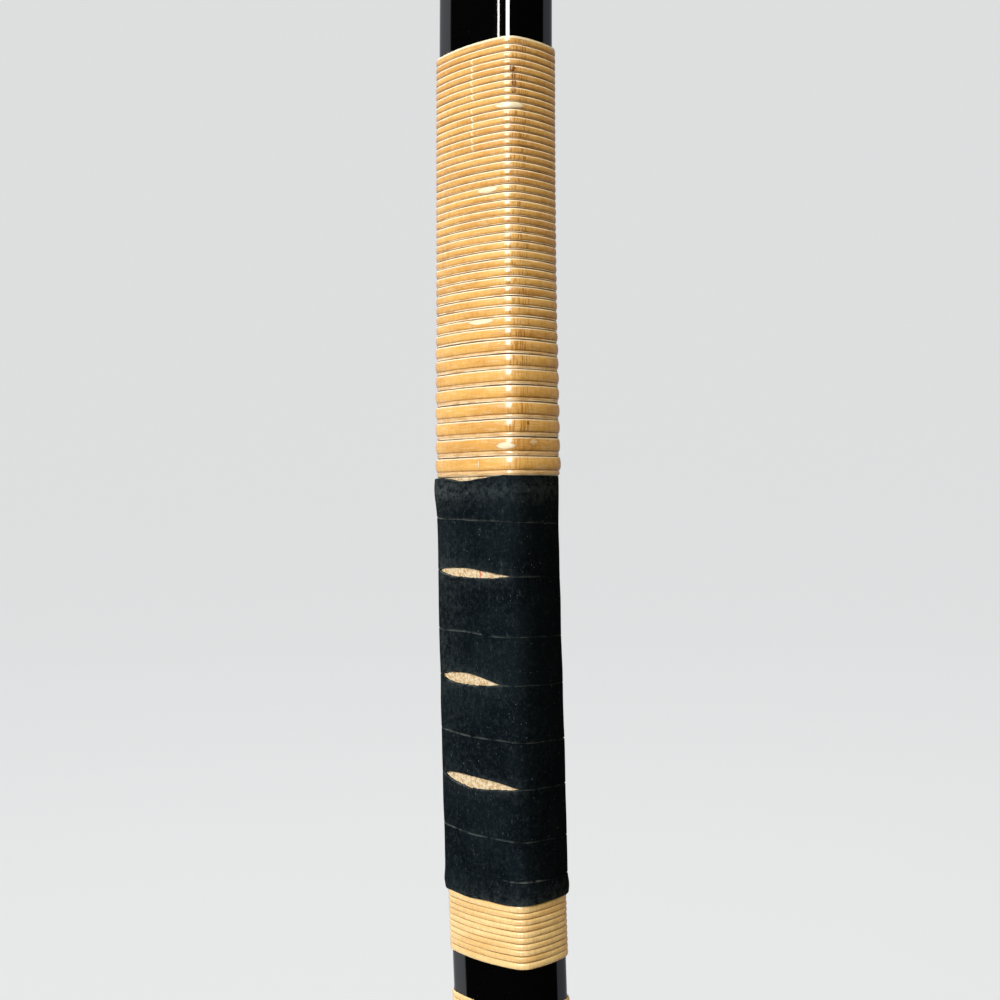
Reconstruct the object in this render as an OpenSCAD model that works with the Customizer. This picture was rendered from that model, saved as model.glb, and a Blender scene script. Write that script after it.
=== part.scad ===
// Japanese longbow (yumi) at rest, unstrung. +Z runs up the stave, -Y is the belly (the archer's side),
// +X is the arrow's side, and the origin is the middle of the grip. Millimetres.

/* [Stave] */
// Height of the upper shoulder, where the stave narrows to the nock
upper_shoulder = 1478; // [1300:1:1600]
// Depth of the lower shoulder below the grip's middle
lower_shoulder = 650; // [550:1:720]
// Width at the grip
grip_width = 29.3; // [24:0.1:32]
// Width at the upper shoulder
upper_width = 19; // [17:0.1:24]
// Width at the lower shoulder
lower_width = 21; // [17:0.1:26]
// Thickness at the grip, belly to back
grip_thickness = 16.8; // [14:0.1:22]
// Thickness at the upper shoulder
upper_thickness = 11.5; // [10.5:0.1:14]
// Thickness at the lower shoulder
lower_thickness = 13; // [11:0.1:16]
// How the taper gathers towards the tips: 1 is even, 2 keeps the middle full
taper_power = 1.7; // [1:0.1:2.5]
// Lean of each side, which makes the belly narrower than the back
side_lean = 5; // [0:0.5:6]
// Rise of the belly and back faces at their middle
crown = 1.2; // [0.2:0.1:1.4]

/* [Curve of the unstrung stave] */
// Radius of the back curve above the grip
upper_radius = 5200; // [3500:50:9000]
// Radius of the back curve below the grip
lower_radius = 3600; // [2500:50:7000]
// Height at which the upper tip starts to curl back
upper_curl_from = 1150; // [1000:10:1300]
// Extra set-back of the upper shoulder from that curl
upper_curl = 32; // [0:1:60]
// Depth at which the lower tip starts to curl back
lower_curl_from = 470; // [350:10:520]
// Extra set-back of the lower shoulder from that curl
lower_curl = 7; // [0:1:20]

/* [Laminations] */
// Half the width of the core, which is four strips side by side
core_half = 7.2; // [5:0.1:8]
// Number of core strips
core_strips = 4; // [4:1:4]
// Thickness of the lacquer
lacquer = 0.4; // [0.2:0.05:0.6]
// Height at which the upper end block takes over from the belly bamboo
upper_splice = 1285; // [1200:5:1350]
// Depth at which the lower end block takes over from the belly bamboo
lower_splice = 505; // [450:5:560]

/* [Nocks] */
// Radius of the upper nock, which the string's upper loop goes round
upper_nock_radius = 4.75; // [4:0.05:5.5]
// Length of the upper nock's round part
upper_nock_length = 24; // [18:0.5:32]
// Radius of the lower nock
lower_nock_radius = 5.5; // [4.5:0.05:6]
// Length of the lower nock's round part
lower_nock_length = 15; // [12:0.5:22]
// Length of the shoulder between the stave's section and a nock
shoulder_length = 9; // [6:0.5:12]
// Width of the ledge round a nock, which the string's loop rests on
ledge = 0.9; // [0.4:0.1:2]

/* [Grip] */
// Height of the leather grip
grip_height = 110; // [95:0.1:125]
// Turns of the leather strip
leather_turns = 8.15; // [7.15:1:10.15]
// Share of each turn's climb that falls on the belly and the right side, where the seams run nearly level
level_share = 0.18; // [0.1:0.01:0.5]
// Height of the first turn's middle above the grip's foot, at the belly's left corner
leather_start = -1.5; // [-5:0.1:5]
// Thickness of the leather
leather = 0.75; // [0.5:0.05:1.2]
// Thickness of the cork sheet under the leather
cork = 0.45; // [0.3:0.05:1]

/* [Rattan] */
// Length of the arrow-pass winding above the grip
pass_length = 112.7; // [90:0.1:114]
// Height of the first whole turn's middle above the grip
pass_start = 2.44; // [1:0.01:3]
// Turn spacing at the foot of the arrow-pass winding, without the widest rattan's extra width
pass_pitch_foot = 4.36; // [3:0.01:5]
// Turn spacing it settles to higher up
pass_pitch_top = 1.82; // [1.5:0.01:2.2]
// Number of turns over which the spacing settles
pass_settle = 9.17; // [5:0.01:15]
// Extra width of the widest rattan
pass_extra = 0.77; // [0:0.01:1.5]
// Number of turns of the widest rattan
wide_turns = 7.6; // [5:0.1:9]
// Number of turns over which it narrows
narrowing = 0.35; // [0.2:0.05:2]
// Thickness of the rattan at the foot
pass_thickness_foot = 1.5; // [1:0.05:1.8]
// Thickness of the rattan at the top
pass_thickness_top = 0.85; // [0.6:0.05:1.1]
// Length of the winding just below the grip
below_length = 16.5; // [12:0.1:26]
// Turn spacing of the fine rattan used everywhere else
fine_pitch = 1.59; // [1.4:0.01:2.4]
// Extra width of a fine winding's lowest turn, whose edge is free
fine_start = 0.25; // [0:0.05:0.4]
// Thickness of the fine rattan
fine_thickness = 0.6; // [0.4:0.05:0.9]
// Gap between the winding below the grip and the small ring under it
ring_gap = 11.1; // [8:0.1:16]
// Length of the small ring
ring_length = 8.3; // [5:0.1:12]
// Length of the windings over the end blocks' splices
splice_length = 25.8; // [18:0.1:34]
// Length of the sun ring and the moon ring near the tips
tip_ring_length = 11.5; // [8:0.1:16]
// Distance from each tip ring to its shoulder
tip_ring_inset = 62; // [45:1:80]

/* [Hidden] */

corner_share = 0.22;             // corner radius as a share of the stave's thickness
stave_steps = 3;                 // facets round each corner of the stave
wrap_steps = 2;                  // facets round each corner of a winding
station_step = 42;               // spacing of the stave's sections
grip_top = grip_height / 2;
grip_foot = -grip_height / 2;
pass_turns = 60;                 // more turns than the arrow-pass winding can take
strip_gap = 0.04;                // share of the pitch left open between turns
end_sliver = 0.5;                // narrowest width of a strip where it is cut level

// ---- the stave's curve and section, as functions of height z ----

function curl(depth, reach, amount) = amount * pow(max(0, depth) / reach, 3);
function curl_slope(depth, reach, amount) = 3 * amount * pow(max(0, depth) / reach, 2) / reach;
upper_reach = upper_shoulder - upper_curl_from;
lower_reach = lower_shoulder - lower_curl_from;
function set_back(z) = z * z / (2 * (z > 0 ? upper_radius : lower_radius))
    + curl(z - upper_curl_from, upper_reach, upper_curl)
    + curl(-z - lower_curl_from, lower_reach, lower_curl);
function lean(z) = atan(z / (z > 0 ? upper_radius : lower_radius)
    + curl_slope(z - upper_curl_from, upper_reach, upper_curl)
    - curl_slope(-z - lower_curl_from, lower_reach, lower_curl));

function taper(z, at_grip, at_top, at_foot) = z > 0
    ? at_grip + (at_top - at_grip) * pow(z / upper_shoulder, taper_power)
    : at_grip + (at_foot - at_grip) * pow(-z / lower_shoulder, taper_power);
function half_width(z) = taper(z, grip_width, upper_width, lower_width) / 2;
function half_thick(z) = taper(z, grip_thickness, upper_thickness, lower_thickness) / 2;
function corner_radius(z) = 2 * corner_share * half_thick(z);

// A point of the section at height z: p is [across, belly to back].
function place(z, p) = [p.x, set_back(z) + p.y * cos(lean(z)), z - p.y * sin(lean(z))];
function place_all(z, points) = [for (p = points) place(z, p)];

function arc(centre, radius, from, to, steps) = [
    for (i = [0:steps]) let (a = from + (to - from) * i / steps) centre + radius * [cos(a), sin(a)]
];
function mirrored(points) = [for (i = [len(points) - 1:-1:0]) [-points[i].x, points[i].y]];

// The right-hand corner arcs at the belly and at the back, grown outwards by grow.
function belly_corner(z, grow, steps) = let (
    r = corner_radius(z),
    v = half_thick(z) - r
) arc([half_width(z) - r - v * tan(side_lean), -v], r + grow, -90, -side_lean, steps);
function back_corner(z, grow, steps) = let (
    r = corner_radius(z),
    v = half_thick(z) - r
) arc([half_width(z) - r + v * tan(side_lean), v], r + grow, -side_lean, 90, steps);

function belly_face(z, grow, steps) = let (right = belly_corner(z, grow, steps))
    concat(mirrored(right), [[0, -half_thick(z) - crown - grow]], right);
function back_face(z, grow, steps) = let (right = back_corner(z, grow, steps))
    concat(right, [[0, half_thick(z) + crown + grow]], mirrored(right));
function outline(z, grow, steps) = concat(belly_face(z, grow, steps), back_face(z, grow, steps));

function stations(from, to) = let (n = ceil((to - from) / station_step))
    [for (i = [0:n]) from + (to - from) * i / n];
function reversed(list) = [for (i = [len(list) - 1:-1:0]) list[i]];

// ---- solids from rings of points ----

function band_faces(start, next, n) = [
    for (i = [0:n - 1]) let (j = (i + 1) % n)
    each [[start + i, next + j, start + j], [start + i, next + i, next + j]]
];

// A closed solid through the rings, which run in order and all turn the same way.
module loft(rings) {
    n = len(rings[0]);
    last = (len(rings) - 1) * n;
    polyhedron(
        points = [for (ring = rings) each ring],
        faces = concat(
            [[for (i = [0:n - 1]) i]],
            [for (k = [0:len(rings) - 2]) each band_faces(k * n, (k + 1) * n, n)],
            [[for (i = [n - 1:-1:0]) last + i]]
        )
    );
}

// A sleeve between two stacks of rings.
module sleeve(outer, inner) {
    n = len(outer[0]);
    m = len(outer);
    all = concat(outer, reversed(inner));
    polyhedron(
        points = [for (ring = all) each ring],
        faces = [for (k = [0:2 * m - 1]) each band_faces(k * n, ((k + 1) % (2 * m)) * n, n)]
    );
}

// ---- the laminated stave ----

// Where the core meets the belly bamboo (side = 0) and the back bamboo (side = 1).
function core_face(z, side) = let (r = corner_radius(z), v = half_thick(z) - r)
    (side == 0 ? -v : v) - r * sin(side_lean);

module belly_bamboo() {
    color("#c9a35c")
        loft([for (z = stations(-lower_splice, upper_splice)) place_all(z, belly_face(z, 0, stave_steps))]);
}

module back_bamboo() {
    color("#b8904a")
        loft([for (z = stations(-lower_shoulder, upper_shoulder)) place_all(z, back_face(z, 0, stave_steps))]);
}

module side_wood(hand) {
    color("#8a5a34")
        loft([for (z = stations(-lower_shoulder, upper_shoulder)) let (
            belly = belly_corner(z, 0, 1)[1],
            back = back_corner(z, 0, 1)[0],
            section = [[core_half, belly.y], belly, back, [core_half, back.y]]
        ) place_all(z, hand > 0 ? section : mirrored(section))]);
}

module core_strip(number) {
    wide = 2 * core_half / core_strips;
    left = -core_half + (number - 1) * wide;
    color(number % 2 == 0 ? "#5a3a20" : "#6b4729")
        loft([for (z = stations(-lower_shoulder, upper_shoulder)) let (
            low = core_face(z, 0),
            high = core_face(z, 1)
        ) place_all(z, [[left, low], [left + wide, low], [left + wide, high], [left, high]])]);
}

module lacquer_coat() {
    heights = stations(-lower_shoulder, upper_shoulder);
    color("#0d0d0e")
        sleeve(
            [for (z = heights) place_all(z, outline(z, lacquer, stave_steps))],
            [for (z = heights) place_all(z, outline(z, 0, stave_steps))]
        );
}

// ---- end blocks: a belly lamination that ends in the shoulder and the nock ----

// The stave's outline at the shoulder, drawn in towards a circle: share 0 is the outline, 1 the circle.
function shoulder_ring(z, share, radius) = [
    for (p = outline(z, 0, stave_steps)) p * (1 - share) + p / norm(p) * radius * share
];

// Moves its children to height z and tips them along the stave; up is 1 above the grip and -1 below.
module along_stave(z, up) {
    translate(place(z, [0, 0]))
        rotate([-lean(z) + (up > 0 ? 0 : 180), 0, 0])
            children();
}

module nock(radius, length) {
    overlap = 1;
    rotate_extrude($fn = 64)
        polygon([
            [0, -overlap], [radius, -overlap], [radius, length], [0.86 * radius, length + 0.34 * radius],
            [0.5 * radius, length + 0.62 * radius], [0, length + 0.72 * radius]
        ]);
}

// The shoulder's rings, from the stave's outline at height z to a circle.
function shoulder_rings(z, up, radius) = let (steps = 5) [
    for (i = [0:steps]) let (
        t = i / steps,
        share = 1 - pow(cos(90 * t), 1.4),
        along = up * shoulder_length * t,
        step = [0, along * sin(lean(z)), along * cos(lean(z))]
    ) [for (p = shoulder_ring(z, share, radius)) place(z, p) + step]
];

// The belly lamination's rings, which run into the first of the shoulder's rings. The step between the two
// is a flat face against the ends of the other laminations.
module block_and_shoulder(block, shoulder, up) {
    n = len(block[0]);
    m = len(shoulder[0]);
    start = len(block) * n;
    top = start + (len(shoulder) - 1) * m;
    faces = concat(
        [[for (i = [0:n - 1]) i]],
        [for (k = [0:len(block) - 1]) each band_faces(k * n, (k + 1) * n, n)],
        [concat([for (i = [n - 1:m - 1]) start + i], [start])],
        [for (k = [0:len(shoulder) - 2]) each band_faces(start + k * m, start + (k + 1) * m, m)],
        [[for (i = [m - 1:-1:0]) top + i]]
    );
    polyhedron(
        points = [for (ring = concat(block, shoulder)) each ring],
        faces = up > 0 ? faces : [for (face = faces) reversed(face)]
    );
}

module end_block(up, splice, shoulder_at, radius, length) {
    tip = up * shoulder_at;
    steps = ceil((shoulder_at - splice) / station_step);
    color("#3b2416")
        union() {
            block_and_shoulder(
                [for (i = [0:steps - 1]) let (z = up * (splice + (shoulder_at - splice) * i / steps))
                    place_all(z, belly_face(z, 0, stave_steps))],
                shoulder_rings(tip, up, radius + ledge),
                up
            );
            along_stave(tip, up)
                translate([0, 0, shoulder_length])
                    nock(radius, length);
        }
}

module upper_end_block() {
    end_block(1, upper_splice, upper_shoulder, upper_nock_radius, upper_nock_length);
}

module lower_end_block() {
    end_block(-1, lower_splice, lower_shoulder, lower_nock_radius, lower_nock_length);
}

// ---- windings ----

// Point number index of the stave's outline at height z, grown outwards.
function wrap_point(z, index, grow) = let (points = outline(z, grow, wrap_steps))
    place(z, points[index % len(points)]);
points_per_turn = len(outline(0, 0, wrap_steps));

// How far a strip has climbed after t turns, in turns. Of each turn's climb, share falls on the right side
// and the belly, and the rest on the left side and the back.
function climb(t, share) = let (part = t - floor(t))
    floor(t) + (part < 0.5 ? 2 * part * (1 - share) : 1 - share + (2 * part - 1) * share);

// A strip wound round the stave between the heights low and high, where it is cut level. It starts at the
// belly's left corner and goes over the left side and the back first. middle(t), pitch(t) and thick(t) give
// its height, turn spacing and thickness after a climb of t turns, under is what it lies on, and share is
// the part of its climb that shows on the belly.
module winding(from, to, low, high, middle, pitch, thick, under, share = 0) {
    first = ceil(from * points_per_turn);
    last = floor(to * points_per_turn);
    rings = [for (j = [first:last]) let (
        i = (100 * points_per_turn - j) % points_per_turn,
        t = climb(j / points_per_turn, share),
        half = pitch(t) * (1 - strip_gap) / 2,
        foot = middle(t) - half - low < end_sliver ? low : middle(t) - half,
        top = high - middle(t) - half < end_sliver ? high : middle(t) + half,
        bevel = (top - foot) * 0.16
    ) if (top - foot > end_sliver) [
        wrap_point(foot, i, under), wrap_point(foot + bevel, i, under + thick(t)),
        wrap_point(top - bevel, i, under + thick(t)), wrap_point(top, i, under)
    ]];
    loft(reversed(rings));
}

// Share of the widest rattan's extra width that is left after t turns, and its sum over those turns.
function wide(t) = 1 / (1 + exp((t - wide_turns) / narrowing));
function wide_sum(t) = t
    - narrowing * ln((1 + exp((t - wide_turns) / narrowing)) / (1 + exp(-wide_turns / narrowing)));

module arrow_pass_rattan() {
    foot_share = function (t) exp(-t / pass_settle);
    pitch = function (t) pass_pitch_top + (pass_pitch_foot - pass_pitch_top) * foot_share(t)
        + pass_extra * wide(t);
    middle = function (t) grip_top + pass_start + pass_pitch_top * t
        + (pass_pitch_foot - pass_pitch_top) * pass_settle * (1 - foot_share(t))
        + pass_extra * wide_sum(t);
    thick = function (t) pass_thickness_top
        + (pass_thickness_foot - pass_thickness_top)
        * (pitch(t) - pass_pitch_top) / (pitch(0) - pass_pitch_top);
    color("#d9a860")
        winding(-1, pass_turns, grip_top, grip_top + pass_length, middle, pitch, thick, lacquer);
}

// A plain winding of fine rattan from height foot upwards.
module fine_winding(foot, length) {
    middle = function (t) foot + fine_start + fine_pitch * (t + 0.5);
    pitch = function (t) fine_pitch;
    thick = function (t) fine_thickness;
    color("#e6c07c")
        winding(-1, length / fine_pitch + 1, foot, foot + length, middle, pitch, thick, lacquer);
}

module below_grip_rattan() {
    fine_winding(grip_foot - below_length, below_length);
}

module small_ring_rattan() {
    fine_winding(grip_foot - below_length - ring_gap - ring_length, ring_length);
}

module upper_splice_rattan() {
    fine_winding(upper_splice - splice_length / 2, splice_length);
}

module lower_splice_rattan() {
    fine_winding(-lower_splice - splice_length / 2, splice_length);
}

module sun_ring_rattan() {
    fine_winding(upper_shoulder - tip_ring_inset - tip_ring_length, tip_ring_length);
}

module moon_ring_rattan() {
    fine_winding(-lower_shoulder + tip_ring_inset, tip_ring_length);
}

module cork_sheet() {
    heights = stations(grip_foot, grip_top);
    color("#d8b98a")
        sleeve(
            [for (z = heights) place_all(z, outline(z, lacquer + cork, wrap_steps))],
            [for (z = heights) place_all(z, outline(z, lacquer, wrap_steps))]
        );
}

module leather_strip() {
    spacing = grip_height / leather_turns;
    middle = function (t) grip_foot + leather_start + spacing * t;
    pitch = function (t) spacing;
    thick = function (t) leather;
    color("#16191c")
        winding(
            -1, leather_turns + 1, grip_foot, grip_top, middle, pitch, thick, lacquer + cork, level_share
        );
}

back_bamboo();
belly_bamboo();
side_wood(-1);  // side_wood_left
side_wood(1);  // side_wood_right
core_strip(1);  // core_strip_1
core_strip(2);  // core_strip_2
core_strip(3);  // core_strip_3
core_strip(4);  // core_strip_4
upper_end_block();
lower_end_block();
lacquer_coat();
cork_sheet();
leather_strip();
arrow_pass_rattan();
below_grip_rattan();
small_ring_rattan();
upper_splice_rattan();
lower_splice_rattan();
sun_ring_rattan();
moon_ring_rattan();
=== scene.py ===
import math

import bpy
import numpy as np
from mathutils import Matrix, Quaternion, Vector, noise


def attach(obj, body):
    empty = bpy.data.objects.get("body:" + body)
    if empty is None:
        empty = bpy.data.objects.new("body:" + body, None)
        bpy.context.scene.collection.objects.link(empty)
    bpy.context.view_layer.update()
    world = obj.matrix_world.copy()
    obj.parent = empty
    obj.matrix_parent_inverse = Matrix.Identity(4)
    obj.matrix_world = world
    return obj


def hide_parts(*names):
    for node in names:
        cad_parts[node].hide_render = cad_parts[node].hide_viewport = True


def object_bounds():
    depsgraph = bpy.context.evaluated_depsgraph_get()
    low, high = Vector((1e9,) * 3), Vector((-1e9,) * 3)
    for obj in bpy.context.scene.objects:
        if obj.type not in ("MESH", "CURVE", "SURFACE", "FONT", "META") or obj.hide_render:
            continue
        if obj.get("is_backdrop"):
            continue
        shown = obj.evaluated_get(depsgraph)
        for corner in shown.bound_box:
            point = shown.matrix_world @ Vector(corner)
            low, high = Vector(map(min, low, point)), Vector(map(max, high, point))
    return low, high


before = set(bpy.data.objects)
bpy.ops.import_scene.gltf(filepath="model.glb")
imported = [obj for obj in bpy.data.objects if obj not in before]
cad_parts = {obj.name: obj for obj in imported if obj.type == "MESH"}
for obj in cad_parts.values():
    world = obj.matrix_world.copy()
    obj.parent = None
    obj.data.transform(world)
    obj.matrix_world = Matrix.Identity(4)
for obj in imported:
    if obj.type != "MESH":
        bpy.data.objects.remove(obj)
cad_low, cad_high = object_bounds()

# Lengths here are in millimetres, as in the CAD source; place() turns points into metres.
MM = 0.001

# ---- the stave's curve and section, with the CAD model's own numbers ----

UPPER_SHOULDER = 1478.0           # the shoulders' distances from the grip's middle
LOWER_SHOULDER = 650.0
WIDTH = (29.3, 19.0, 21.0)        # at the grip, the upper shoulder and the lower shoulder
THICKNESS = (16.8, 11.5, 13.0)
TAPER_POWER = 1.7
SIDE_LEAN = math.radians(5)       # makes the belly narrower than the back
CORNER_SHARE = 0.22               # corner radius as a share of the thickness
BELLY_CROWN = 1.2                 # how far the belly and the back bulge
SIDE_CROWN = 0.4
UPPER_RADIUS = 5200.0             # of the stave's curve above and below the grip
LOWER_RADIUS = 3600.0
UPPER_CURL = (1150.0, 32.0)       # where it starts, and how far it sets the shoulder back
LOWER_CURL = (470.0, 7.0)
LACQUER = 0.4                     # thicknesses of the layers on the stave
CORK = 0.45
LEATHER = 0.75
GRIP_LOW, GRIP_HIGH = -55.0, 55.0
UPPER_SPLICE = 1285.0             # where the end blocks start
LOWER_SPLICE = 505.0
UPPER_NOCK = (4.75, 24.0)         # radius and length
LOWER_NOCK = (5.5, 15.0)
SHOULDER_LENGTH = 9.0
LEDGE = 0.9                       # width of the ledge round a nock


def set_back(z):
    """How far the stave's middle line lies behind the grip, and its slope, at heights z."""
    up = z > 0
    radius = np.where(up, UPPER_RADIUS, LOWER_RADIUS)
    start = np.where(up, UPPER_CURL[0], LOWER_CURL[0])
    amount = np.where(up, UPPER_CURL[1], LOWER_CURL[1])
    reach = np.where(up, UPPER_SHOULDER, LOWER_SHOULDER) - start
    past = np.maximum(0.0, np.abs(z) - start) / reach
    back = z * z / (2 * radius) + amount * past ** 3
    slope = z / radius + np.sign(z) * 3 * amount * past ** 2 / reach
    return back, slope


def taper(z, sizes):
    """One of the section's sizes at heights z."""
    at_grip, at_top, at_foot = sizes
    up = z > 0
    end = np.where(up, at_top, at_foot)
    reach = np.where(up, UPPER_SHOULDER, LOWER_SHOULDER)
    return at_grip + (end - at_grip) * (np.abs(z) / reach) ** TAPER_POWER


def place(z, u, v):
    """Points of the sections at heights z, in metres: u is across and v from belly to back."""
    back, slope = set_back(z)
    lean = np.arctan(slope)
    return np.stack([u, back + v * np.cos(lean), z - v * np.sin(lean)], -1) * MM


def circles_meet(centre_a, radius_a, centre_b, radius_b, hand):
    """The point where two circles meet, on the left of the way from a to b for hand 1."""
    gap = centre_b - centre_a
    d = np.linalg.norm(gap, axis=-1)
    along = (d * d + radius_a ** 2 - radius_b ** 2) / (2 * d)
    off = np.sqrt(np.maximum(radius_a ** 2 - along ** 2, 0.0)) * hand
    unit = gap / d[..., None]
    normal = np.stack([-unit[..., 1], unit[..., 0]], -1)
    return centre_a + unit * along[..., None] + normal * off[..., None]


def arcs(z):
    """The section's outline at heights z as eight arcs, each with a centre, a radius, and a first and a last
    angle. They run from the belly's left corner over the belly, the right side, the back and left side."""
    half_w = taper(z, WIDTH) / 2
    half_t = taper(z, THICKNESS) / 2
    r = 2 * CORNER_SHARE * half_t
    zero = np.zeros_like(z)
    face_r = (half_w - r) ** 2 / (2 * BELLY_CROWN)
    side_r = (half_t - r) ** 2 / (2 * SIDE_CROWN)
    belly = np.stack([zero, face_r - half_t - BELLY_CROWN], -1)
    back = -belly
    side = np.stack([half_w + SIDE_CROWN - side_r * math.cos(SIDE_LEAN), side_r * math.sin(SIDE_LEAN)], -1)
    front_corner = circles_meet(belly, face_r - r, side, side_r - r, 1)
    rear_corner = circles_meet(back, face_r - r, side, side_r - r, -1)
    mirror = np.array([-1.0, 1.0])

    def angle(corner, centre):
        way = corner - centre
        return np.arctan2(way[..., 1], way[..., 0])

    belly_end = angle(front_corner, belly)
    side_start = angle(front_corner, side)
    side_end = angle(rear_corner, side)
    back_start = angle(rear_corner, back)
    half = math.pi
    rows = [
        (front_corner * mirror, r, -half - side_start, -half - belly_end),
        (belly, face_r, -half - belly_end, belly_end),
        (front_corner, r, belly_end, side_start),
        (side, side_r, side_start, side_end),
        (rear_corner, r, side_end, back_start),
        (back, face_r, back_start, half - back_start),
        (rear_corner * mirror, r, half - back_start, half - side_end),
        (side * mirror, side_r, half - side_end, half - side_start),
    ]
    centres = np.stack([row[0] for row in rows], -2)
    return centres, [np.stack([row[i] + zero for row in rows], -1) for i in (1, 2, 3)]


def outline(z, arc, share, grow):
    """Points (u, v) of the outline at heights z: share of the way along the numbered arc, grown by grow."""
    z, arc, share, grow = np.broadcast_arrays(z, arc, share, grow)
    shape = z.shape
    z, arc, share, grow = (x.reshape(-1) for x in (z.astype(float), arc, share, grow))
    centres, (radii, first, last) = arcs(z)
    rows = np.arange(len(z))
    angle = first[rows, arc] + share * (last - first)[rows, arc]
    reach = radii[rows, arc] + grow
    points = centres[rows, arc] + np.stack([np.cos(angle), np.sin(angle)], -1) * reach[:, None]
    return points[:, 0].reshape(shape), points[:, 1].reshape(shape)


def steps_around(corner, face, side):
    """The arc number and the share along it of each step of one turn round the outline."""
    counts = (corner, face, corner, side, corner, face, corner, side)
    arc = np.repeat(np.arange(8), counts)
    share = np.concatenate([np.arange(n) / n for n in counts])
    return arc, share


# ---- shapes and meshes ----

def hump(x, size, middle, half_width):
    """A hump of this size at middle, falling smoothly to 0 on both sides."""
    return size * np.exp(-((x - middle) / half_width) ** 2)


def wobble(values, size, seed):
    """A smooth, repeatable wandering between -size and size along values."""
    return np.array([noise.noise(Vector((float(x), seed, 0.37 * seed))) for x in values]) * size * 1.6


def lumps(u, v, z, around, upward):
    """Smooth, repeatable lumps over a grid of points, with so many to a millimetre around and upward."""
    u, v, z = np.broadcast_arrays(u, v, z)
    scale = np.array([around, around, upward])
    points = np.stack([u, v, z], -1).reshape(-1, 3) * scale
    return np.array([noise.noise(Vector(point)) for point in points.tolist()]).reshape(z.shape)


def build(name, rings, closed_ends=True, facts=None):
    """A mesh through rings of points. facts are named numbers for each point, which materials read."""
    count, n = rings.shape[:2]
    grid = np.arange(count * n).reshape(count, n)
    a = grid[:-1]
    b = grid[1:]
    quads = np.stack([a, np.roll(a, -1, 1), np.roll(b, -1, 1), b], -1).reshape(-1, 4)
    faces = quads.tolist()
    if closed_ends:
        faces += [grid[0, ::-1].tolist(), grid[-1].tolist()]
    mesh = bpy.data.meshes.new(name)
    mesh.from_pydata(rings.reshape(-1, 3).tolist(), [], faces)
    for key, values in (facts or {}).items():
        layer = mesh.attributes.new(key, "FLOAT", "POINT")
        layer.data.foreach_set("value", np.broadcast_to(values, (count, n)).astype(np.float32).ravel())
    mesh.polygons.foreach_set("use_smooth", [True] * len(faces))
    mesh.update()
    piece = bpy.data.objects.new(name, mesh)
    bpy.context.scene.collection.objects.link(piece)
    return piece


def fit(piece, slot_name, material, *nodes):
    """Gives a piece its material, attaches it to the root body and hides the CAD nodes it stands for."""
    piece.data.materials.append(material)
    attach(piece, "root")
    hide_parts(*nodes)
    return piece


# ---- materials ----

class Look:
    """A node material, built up a node at a time."""

    def __init__(self, name):
        self.material = bpy.data.materials.new(name)
        self.material.use_nodes = True
        self.tree = self.material.node_tree
        self.tree.nodes.clear()

    def node(self, kind, settings=None, **inputs):
        """A shader node. Inputs are named, or numbered as in _0, and are values or other nodes' outputs."""
        made = self.tree.nodes.new("ShaderNode" + kind)
        for key, value in (settings or {}).items():
            setattr(made, key, value)
        for key, value in inputs.items():
            socket = made.inputs[int(key[1:])] if key[0] == "_" else made.inputs[key.replace("_", " ")]
            if isinstance(value, bpy.types.NodeSocket):
                self.tree.links.new(value, socket)
            else:
                socket.default_value = value
        return made

    def fact(self, name):
        """A named number stored on the mesh."""
        return self.node("Attribute", {"attribute_name": name, "attribute_type": "GEOMETRY"}).outputs["Fac"]

    def place(self):
        return self.node("TexCoord").outputs["Object"]

    def stretched(self, scale, vector=None):
        return self.node("Mapping", Vector=vector or self.place(), Scale=scale).outputs["Vector"]

    def noise(self, scale, detail=3.0, vector=None, rough=0.5):
        vector = vector or self.place()
        made = self.node("TexNoise", Vector=vector, Scale=scale, Detail=detail, Roughness=rough)
        return made.outputs["Fac"]

    def math(self, kind, a, b=0.0, clamp=False):
        return self.node("Math", {"operation": kind, "use_clamp": clamp}, _0=a, _1=b).outputs[0]

    def times(self, value, *others):
        for other in others:
            value = self.math("MULTIPLY", value, other)
        return value

    def plus(self, value, *others):
        for other in others:
            value = self.math("ADD", value, other)
        return value

    def less(self, value, other, clamp=False):
        return self.math("SUBTRACT", value, other, clamp)

    def opposite(self, value):
        """1 where value is 0, and 0 where it is 1."""
        return self.less(1.0, value)

    def rise(self, value, low, high):
        """0 below low and 1 above high, with a smooth rise between."""
        made = self.node("MapRange", {"interpolation_type": "SMOOTHSTEP"}, Value=value)
        made.inputs["From Min"].default_value = low
        made.inputs["From Max"].default_value = high
        return made.outputs["Result"]

    def band(self, value, middle, half, soft):
        """1 within half of middle, falling to 0 over soft more."""
        off = self.math("ABSOLUTE", self.less(value, middle))
        return self.opposite(self.rise(off, half, half + soft))

    def mix(self, share, a, b):
        """Colour a, with this share of colour b over it."""
        made = self.node("Mix", {"data_type": "RGBA", "blend_type": "MIX"})
        for socket, value in ((made.inputs[0], share), (made.inputs[6], a), (made.inputs[7], b)):
            if isinstance(value, bpy.types.NodeSocket):
                self.tree.links.new(value, socket)
            elif isinstance(value, (int, float)):
                socket.default_value = value
            else:
                socket.default_value = (*value, 1.0)
        return made.outputs[2]

    def join(self, x, y, z):
        return self.node("CombineXYZ", _0=x, _1=y, _2=z).outputs[0]

    def bump(self, height, strength, depth, normal=None):
        made = self.node("Bump", Strength=strength, Distance=depth, Height=height)
        if normal is not None:
            self.tree.links.new(normal, made.inputs["Normal"])
        return made.outputs["Normal"]

    def finish(self, **inputs):
        shader = self.node("BsdfPrincipled", **inputs)
        out = self.node("OutputMaterial")
        self.tree.links.new(shader.outputs[0], out.inputs[0])
        return self.material


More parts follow.
